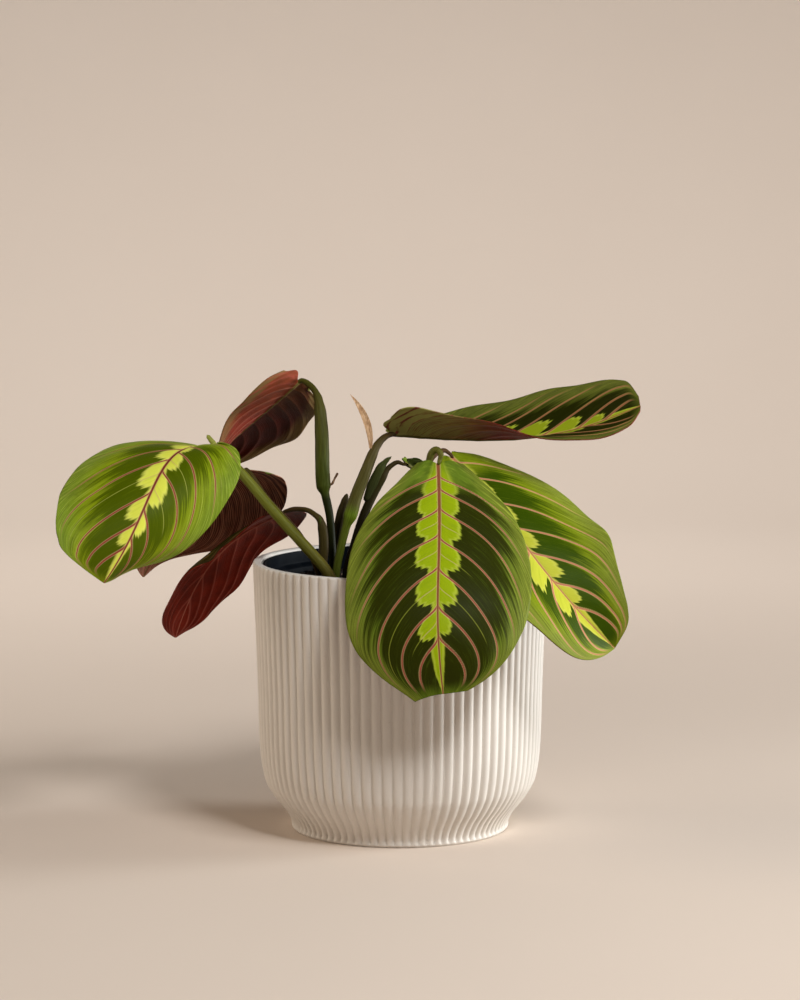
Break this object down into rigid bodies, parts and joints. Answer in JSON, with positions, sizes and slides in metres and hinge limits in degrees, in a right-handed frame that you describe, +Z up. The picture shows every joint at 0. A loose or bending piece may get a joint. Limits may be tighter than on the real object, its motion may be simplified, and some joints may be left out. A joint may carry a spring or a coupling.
{
  "type": "potted prayer plant",
  "caption": "Prayer plant with broad patterned leaves and wine-red undersides, in soil and a dark grow pot inside a white ribbed cover pot.",
  "frame": {"origin": "centre of the cover pot's foot, on the surface that the pot stands on", "axes": "+Z up, -Y towards the viewer of the large hanging leaf, the plant leaning to -X"},
  "size_m": [0.2715, 0.1798, 0.2174],
  "materials": {
    "cover_pot": "satin",
    "grow_pot": "satin",
    "soil": "matte",
    "leaf": "satin",
    "stalk": "satin",
    "young_sheath": "satin",
    "dry_growth": "matte"
  },
  "bodies": {
    "root": {"cover_pot": "cover_pot", "grow_pot": "grow_pot", "soil": "soil", "leaf_left_front": "leaf", "leaf_left_top": "leaf", "leaf_left_back": "leaf", "leaf_left_low": "leaf", "leaf_right_top": "leaf", "leaf_front": "leaf", "leaf_right_low": "leaf", "leaf_middle": "leaf", "stalk_left_front": "stalk", "stalk_left_top": "stalk", "stalk_left_back": "stalk", "stalk_left_low": "stalk", "stalk_right_top": "stalk", "stalk_middle": "stalk", "stalk_front": "stalk", "stalk_right_low": "stalk", "young_sheath": "young_sheath", "dry_sheath_tip": "dry_growth", "dry_twig": "dry_growth"}
  },
  "joints": []
}
